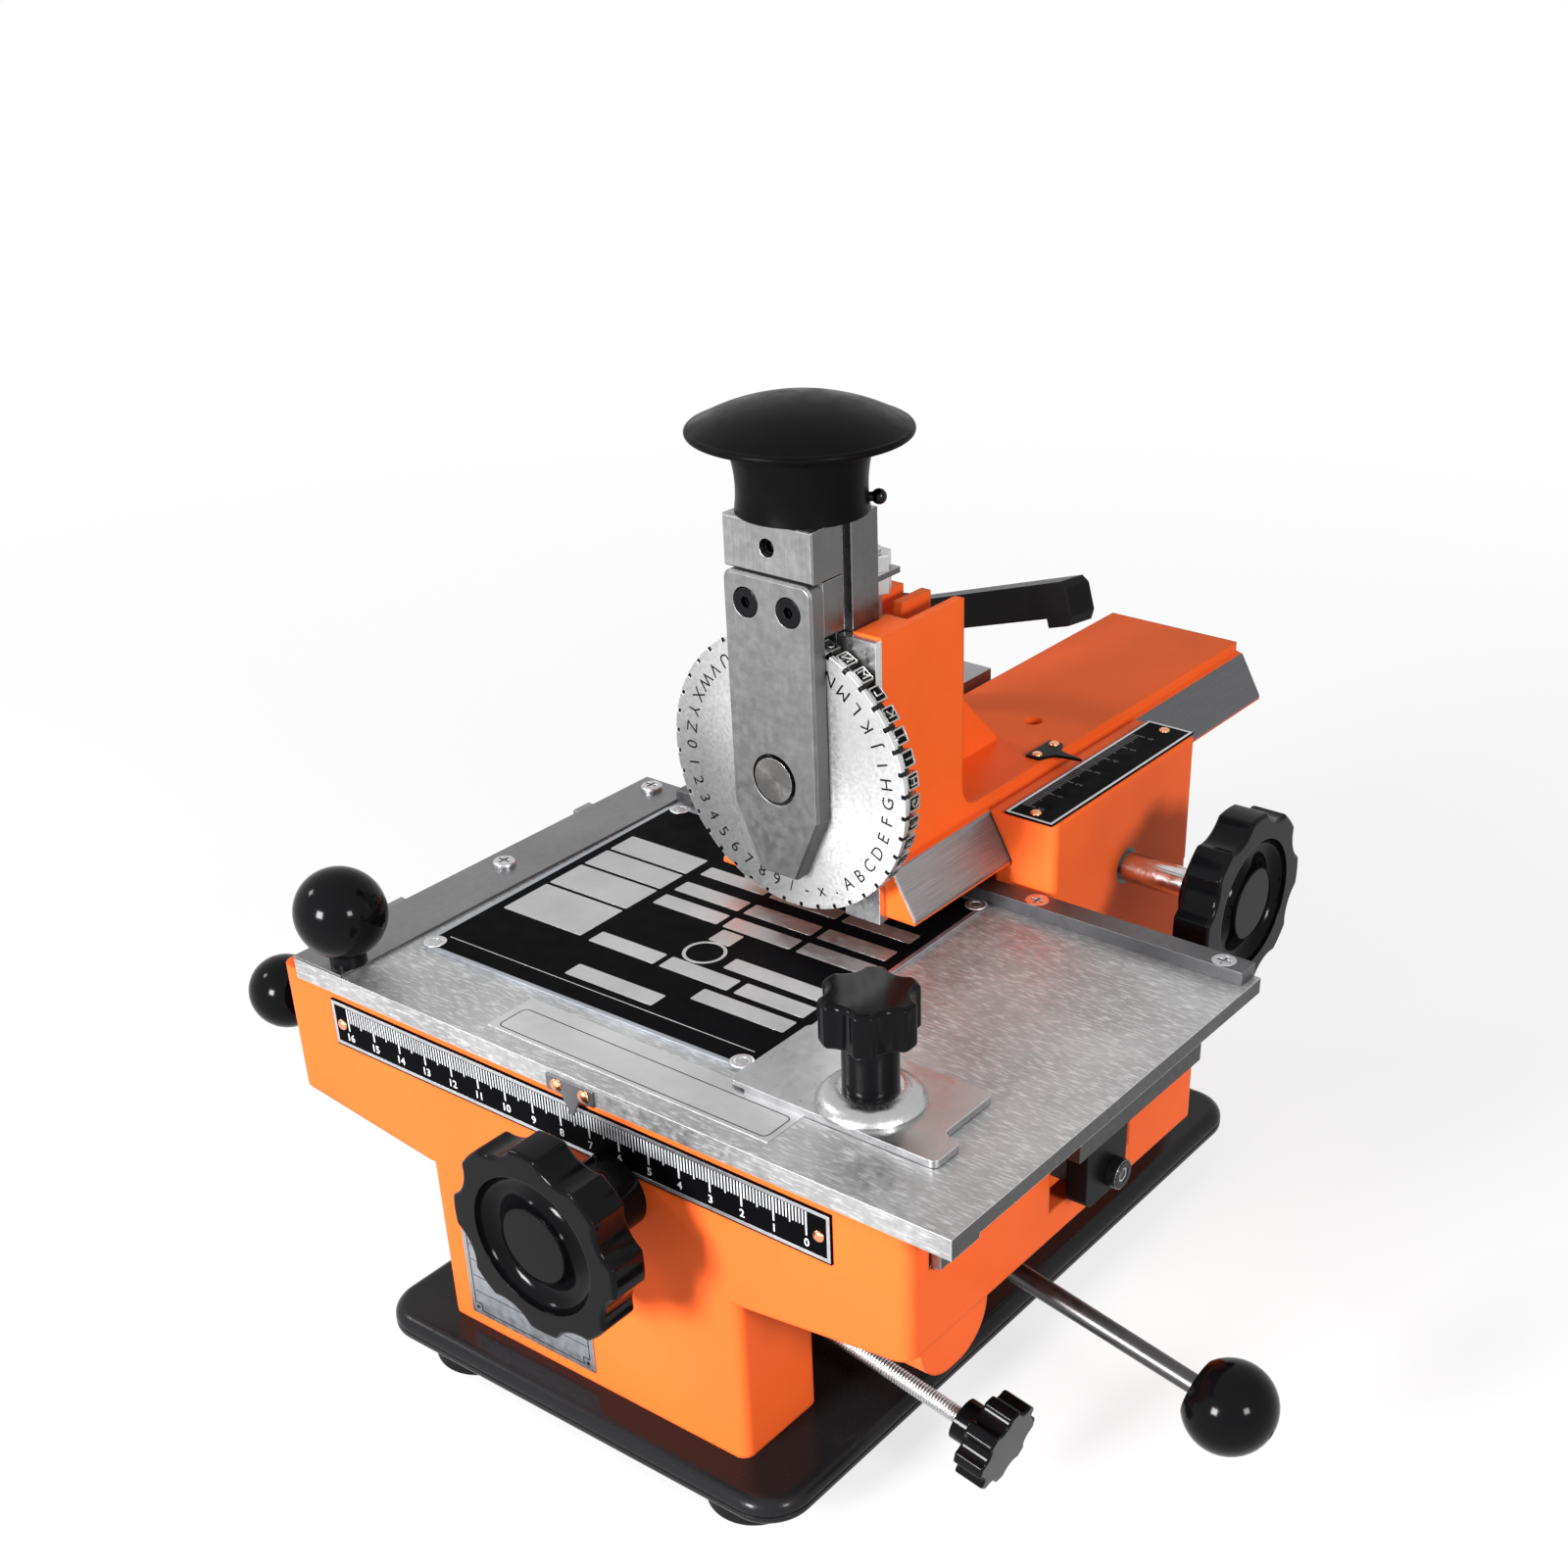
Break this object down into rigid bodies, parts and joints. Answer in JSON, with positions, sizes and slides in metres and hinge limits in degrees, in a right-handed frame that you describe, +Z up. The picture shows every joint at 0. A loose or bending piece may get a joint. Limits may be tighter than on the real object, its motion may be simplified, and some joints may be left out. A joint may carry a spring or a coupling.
{
  "type": "nameplate marking machine",
  "caption": "Hand-operated marking press: a sliding table with a clamped plate, and a dovetail head whose sprung ram presses a turning type wheel onto it.",
  "frame": {"origin": "middle of the bounding box, on the plane that the feet stand on", "axes": "+X to the operator's right along the table's travel, +Y to the back along the head's travel, +Z up"},
  "size_m": [0.3838, 0.3232, 0.2671],
  "materials": {
    "orange_paint": "glossy orange paint on slightly rough casting",
    "black_enamel": "glossy black enamel",
    "black_gloss_plastic": "glossy black moulded plastic",
    "black_painted_steel": "satin black paint",
    "rubber": "dull black rubber",
    "table_steel": "brushed bare steel with fine scratches",
    "machined_steel": "machined bare steel",
    "dark_steel": "blackened steel",
    "spring_steel": "drawn spring wire",
    "wheel_steel": "pale brushed steel",
    "scale_black": "black printed metal with bare silver marks",
    "plate_silver": "matt aluminium with printed lines",
    "label_foil": "matt foil",
    "bronze": "turned bronze",
    "copper_rivet": "copper rivet"
  },
  "bodies": {
    "stand": {"base_plate": "black_enamel", "rubber_feet": "rubber", "body_casting": "orange_paint", "way_strips": "machined_steel", "front_scale_plate": "scale_black", "scale_rivets": "copper_rivet", "spec_plate": "plate_silver", "shaft_bushes": "bronze", "head_scale_plate": "plate_silver", "gib_bar": "dark_steel", "gib_bolts": "dark_steel", "gib_adjusting_screws": "dark_steel", "lever_stud": "dark_steel", "rocker_pivot": "machined_steel"},
    "rocker": {"rocker_hub": "machined_steel", "lever_rods": "dark_steel", "lever_balls": "black_gloss_plastic"},
    "pawl": {"index_pawl": "machined_steel"},
    "adjuster": {"adjusting_rod": "machined_steel", "adjusting_knob": "black_gloss_plastic"},
    "front_wheel": {"front_handwheel": "black_gloss_plastic", "front_pinion_shaft": "machined_steel"},
    "table": {"table_plate": "table_steel", "table_carriage": "dark_steel", "table_rack": "machined_steel", "index_bar": "machined_steel", "index_bracket": "black_painted_steel", "side_strip": "table_steel", "back_strip": "table_steel", "table_screws": "dark_steel", "table_knob": "black_gloss_plastic", "table_pointer": "black_painted_steel", "pointer_rivets": "copper_rivet", "blank_label": "label_foil", "nameplate_blank": "scale_black", "clamp_plate": "table_steel", "clamp_stud": "machined_steel", "dome_washer": "machined_steel"},
    "star_knob": {"clamp_star_knob": "black_gloss_plastic"},
    "head": {"head_casting": "orange_paint", "head_rack": "machined_steel", "head_pointer": "black_painted_steel", "head_pointer_rivets": "copper_rivet", "cover_gibs": "machined_steel", "cover_screws": "dark_steel", "stop_sleeve": "machined_steel", "return_spring": "spring_steel"},
    "detent": {"detent_knob": "black_painted_steel"},
    "side_wheel": {"side_handwheel": "black_gloss_plastic", "side_pinion_shaft": "machined_steel"},
    "ram": {"ram_slide": "machined_steel", "ram_block": "machined_steel", "ram_screws": "dark_steel", "wheel_bracket": "machined_steel", "press_knob": "black_gloss_plastic", "hub_pin": "machined_steel", "stop_stud": "machined_steel"},
    "type_wheel": {"type_wheel": "wheel_steel"},
    "clamp_lever": {"clamp_lever": "black_painted_steel"}
  },
  "joints": [
    {"name": "table_slide", "type": "slide", "parent": "stand", "child": "table", "axis": [-1, 0, 0], "range_m": [-0.0725, 0.0875]},
    {"name": "front_wheel_turn", "type": "hinge", "parent": "stand", "child": "front_wheel", "pos_m": [0.0342, -0.1501, 0.092], "axis": [0, 1, 0], "range_deg": [-558, 463]},
    {"name": "head_slide", "type": "slide", "parent": "stand", "child": "head", "axis": [0, 1, 0], "range_m": [-0.05, 0.024]},
    {"name": "side_wheel_turn", "type": "hinge", "parent": "stand", "child": "side_wheel", "pos_m": [0.1026, 0.0541, 0.118], "axis": [1, 0, 0], "range_deg": [-154, 320]},
    {"name": "ram_press", "type": "slide", "parent": "head", "child": "ram", "axis": [0, 0, -1], "range_m": [0, 0.009], "stiffness_N_per_m": 1500, "springref_m": -0.012, "deforming": ["return_spring"]},
    {"name": "type_wheel_turn", "type": "hinge", "parent": "ram", "child": "type_wheel", "pos_m": [0.023, -0.04, 0.1713], "axis": [0, 1, 0], "continuous": true},
    {"name": "clamp_lever_turn", "type": "hinge", "parent": "stand", "child": "clamp_lever", "pos_m": [-0.0135, 0.0571, 0.1763], "axis": [0, 0, 1], "range_deg": [0, 60]},
    {"name": "star_knob_turn", "type": "hinge", "parent": "table", "child": "star_knob", "pos_m": [0.0928, -0.1004, 0.144], "axis": [0, 0, 1], "range_deg": [0, 360]},
    {"name": "rocker_swing", "type": "hinge", "parent": "stand", "child": "rocker", "pos_m": [0, -0.0679, 0.0858], "axis": [0, 1, 0], "range_deg": [-6, 3.5]},
    {"name": "pawl_swing", "type": "hinge", "parent": "rocker", "child": "pawl", "pos_m": [0.02, -0.0549, 0.077], "axis": [0, 1, 0], "range_deg": [0, 20]},
    {"name": "adjuster_turn", "type": "hinge", "parent": "stand", "child": "adjuster", "pos_m": [0.034, -0.0919, 0.04416], "axis": [0.981, 0, -0.1942], "range_deg": [-360, 360]},
    {"name": "detent_pull", "type": "slide", "parent": "head", "child": "detent", "axis": [-1, 0, 0], "range_m": [0, 0.003], "stiffness_N_per_m": 600, "springref_m": -0.004}
  ],
  "couplings": [
    {"joint": "front_wheel_turn", "follows": "table_slide", "rad_per_m": -111.11},
    {"joint": "side_wheel_turn", "follows": "head_slide", "rad_per_m": -111.11}
  ]
}
